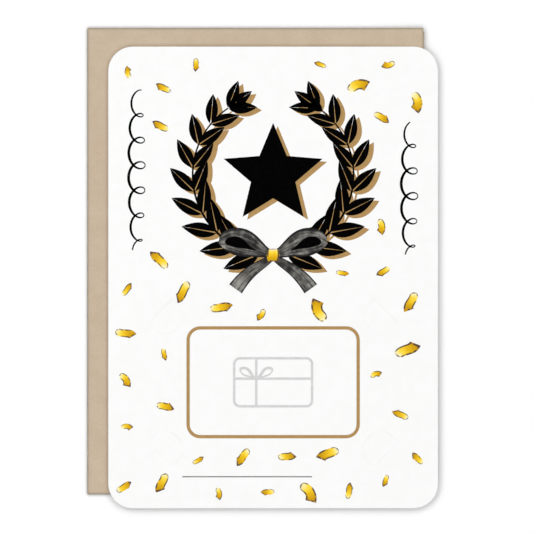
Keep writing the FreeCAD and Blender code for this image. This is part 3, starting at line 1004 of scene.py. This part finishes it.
print_half_y = (card_high.y - card_low.y) / MM / 2
keep_clear = [(FRAME_MIDDLE, FRAME_SIZE), (RULE_MIDDLE, RULE_SIZE), (BOW_MIDDLE, BOW_ROOM)]
keep_clear += [((x, y - length / 2), (2 * STREAMER_SWING, length)) for x, y, length, _ in STREAMERS]
tongues = []
for joint in tab_joints:
    crease, ahead, aside = tab_axes(joint)
    tongues.append((crease + ahead * TAB_REACH / 2 - print_origin).xy / MM)


def open_ground(x, y):
    """Whether a bit of confetti may lie at this place on the print."""
    if abs(x) > print_half_x - CONFETTI_WIDE_CLEAR or abs(y) > print_half_y - CONFETTI_WIDE_CLEAR:
        return False
    if math.dist((x, y), WREATH_MIDDLE) < WREATH_REACH + CONFETTI_WIDE_CLEAR:
        return False
    if any(math.dist((x, y), tongue) < TAB_WIDTH / MM / 2 + CONFETTI_WIDE_CLEAR for tongue in tongues):
        return False
    for middle, size in keep_clear:
        if all(abs(p - m) < s / 2 + CONFETTI_CLEAR for p, m, s in zip((x, y), middle, size)):
            return False
    return True


def bit_widths(half):
    """Half widths along a bit of ribbon, rounded at its pale end and wider towards the other."""
    widths = []
    for i in range(CONFETTI_STEPS + 1):
        share = i / CONFETTI_STEPS
        round_end = math.sqrt(1 - max(0, 1 - share / CONFETTI_ROUND) ** 2)
        widths.append(half * max(CONFETTI_BLUNT, round_end) * (1 + CONFETTI_FLARE * share))
    return widths


def confetti_tree():
    """Patterns strewn over the base at random turns, most of them small, none closer than the spacing."""
    inputs = {"First": "Object", "Second": "Object", "Third": "Object", "Spacing": "Float", "Seed": "Int"}
    tree, pen, given = new_tree("confetti_scatter", {**inputs, "Smallest": "Float", "Largest": "Float"})
    seed = given["Seed"]
    sockets = {"Mesh": given["Geometry"], "Distance Min": given["Spacing"], "Seed": seed}
    sockets["Density Max"] = CONFETTI_DENSITY
    points = pen.node("GeometryNodeDistributePointsOnFaces", {"distribute_method": "POISSON"}, sockets)
    bits = []
    for name in ("First", "Second", "Third"):
        sockets = {"Object": given[name], "As Instance": True}
        bits.append(pen.node("GeometryNodeObjectInfo", {}, sockets, out="Geometry"))
    sockets = {2: 0.0, 3: 2 * math.pi, "Seed": seed}
    angle = pen.node("FunctionNodeRandomValue", {"data_type": "FLOAT"}, sockets, out=1)
    sockets = {2: 0.0, 3: 1.0, "Seed": seed + 1}
    spread = pen.node("FunctionNodeRandomValue", {"data_type": "FLOAT"}, sockets, out=1)
    size = given["Smallest"] + spread * spread * (given["Largest"] - given["Smallest"])
    sockets = {4: 0, 5: len(bits) - 1, "Seed": seed + 2}
    pick = pen.node("FunctionNodeRandomValue", {"data_type": "INT"}, sockets, out=2)
    sockets = {"Points": points, "Instance": join(pen, bits), "Pick Instance": True, "Instance Index": pick}
    sockets.update({"Rotation": turned_by(pen, angle), "Scale": size})
    end_tree(pen, pen.node("GeometryNodeInstanceOnPoints", {}, sockets), given["Material"])
    return tree


ground = bmesh.new()
cells_x, cells_y = int(print_half_x / GROUND_CELL), int(print_half_y / GROUND_CELL)
corners = [Vector((x, y, 0)) * GROUND_CELL / 2 for x, y in ((-1, -1), (1, -1), (1, 1), (-1, 1))]
for i in range(-cells_x, cells_x + 1):
    for j in range(-cells_y, cells_y + 1):
        cell = Vector((i, j, 0)) * GROUND_CELL
        if open_ground(cell.x, cell.y):
            ground.faces.new([ground.verts.new(print_origin + (cell + corner) * MM) for corner in corners])
patterns = []
for controls, half in BITS:
    bit = bmesh.new()
    line = bezier(controls, CONFETTI_STEPS)
    printed_band(bit, line, bit_widths(half), layer=1, columns=1, origin=Vector())
    patterns.append(finish_mesh(bit, "confetti_bit"))
values = dict(zip(("First", "Second", "Third"), patterns))
values.update({"Spacing": CONFETTI_SPACING * MM, "Seed": CONFETTI_SEED, "Material": gold_ink})
values.update({"Smallest": CONFETTI_SMALLEST, "Largest": CONFETTI_LARGEST})
confetti = grow("confetti", finish_mesh(ground, "open_ground"), confetti_tree(), values, patterns)
print_piece(confetti, gold_ink)

# Studio: a plain white table top in a white tent that is lit all round by a band part of the way up,
# and one large soft lamp from the upper left. The table throws little light back, so that the thin sheets
# keep their shadows all round. None of it is part of the object.
TABLE_REACH = 4.0
TABLE_BELOW = 0.02 * MM
TABLE_WHITES = (0.965, 0.965, 0.965), (0.985, 0.985, 0.985)
TABLE_BOUNCE = (0.15, 0.15, 0.15)
TENT_LOW = 0.5
TENT_FALL = 0.45
BAND_START, BAND_END = (0.36, 0.47), (0.65, 0.78)
BAND_LIGHT = 2.26
LAMP_PLACE = Vector((-0.40, 0.45, 0.9))
LAMP_SIZE = 0.7
LAMP_POWER = 1.2


def in_sight(pen):
    """1 for what the camera sees, straight or in gloss or glass, and 0 for the light thrown on the object."""
    camera_ray = pen.node("ShaderNodeLightPath", out="Is Camera Ray")
    seen = camera_ray
    for kind in ("Is Glossy Ray", "Is Transmission Ray"):
        seen = pen.math("MAXIMUM", seen, camera_ray.also(kind))
    return seen


def table_finish():
    table = Finish("white_table", roughness=0.9, shine=0.1)
    white = table.place.noise(grain=0.4, detail=2).mix(*TABLE_WHITES)
    return table.drive(Base_Color=in_sight(table.pen).mix(TABLE_BOUNCE, white))


table_top = bpy.data.meshes.new("table_top")
corners = [(x * TABLE_REACH, y * TABLE_REACH, -TABLE_BELOW) for x, y in ((-1, -1), (1, -1), (1, 1), (-1, 1))]
table_top.from_pydata(corners, [], [(0, 1, 2, 3)])
table_top.materials.append(table_finish())
add_piece("table_top", table_top)

scene = bpy.context.scene
scene.world = bpy.data.worlds.new("white_tent")
scene.world.use_nodes = True
sky = scene.world.node_tree.nodes["Background"]
sky.inputs["Color"].default_value = (1, 1, 1, 1)
pen = Shade(scene.world.node_tree)
direction = pen.node("ShaderNodeTexCoord", out="Generated")
upwards = pen.node("ShaderNodeSeparateXYZ", {}, {0: direction}, out="Z")
band = upwards.rise(*BAND_START) - upwards.rise(*BAND_END)
tent = TENT_LOW - upwards * TENT_FALL + band * BAND_LIGHT
pen.tree.links.new((tent + in_sight(pen) * (1 - tent)).socket, sky.inputs["Strength"])

lamp_light = bpy.data.lights.new("soft_lamp", "AREA")
lamp_light.size = LAMP_SIZE
lamp_light.energy = LAMP_POWER
lamp = bpy.data.objects.new("soft_lamp", lamp_light)
lamp.location = LAMP_PLACE
lamp.rotation_euler = LAMP_PLACE.to_track_quat("Z", "Y").to_euler()
scene.collection.objects.link(lamp)

# Camera: straight above the card on a long lens, as in the photo, whose middle lies a little to the
# left of the card's and above it.
FIELD = 205.3 * MM
VIEW_MIDDLE = (1.56 * MM, 0.52 * MM)
LENS, SENSOR = 135, 36
camera_lens = bpy.data.cameras.new("photo_camera")
camera_lens.sensor_width = SENSOR
camera_lens.lens = LENS
camera = bpy.data.objects.new("photo_camera", camera_lens)
camera.location = (*VIEW_MIDDLE, card_high.z + FIELD * LENS / SENSOR)
scene.collection.objects.link(camera)
scene.camera = camera
scene.view_settings.view_transform = "Standard"
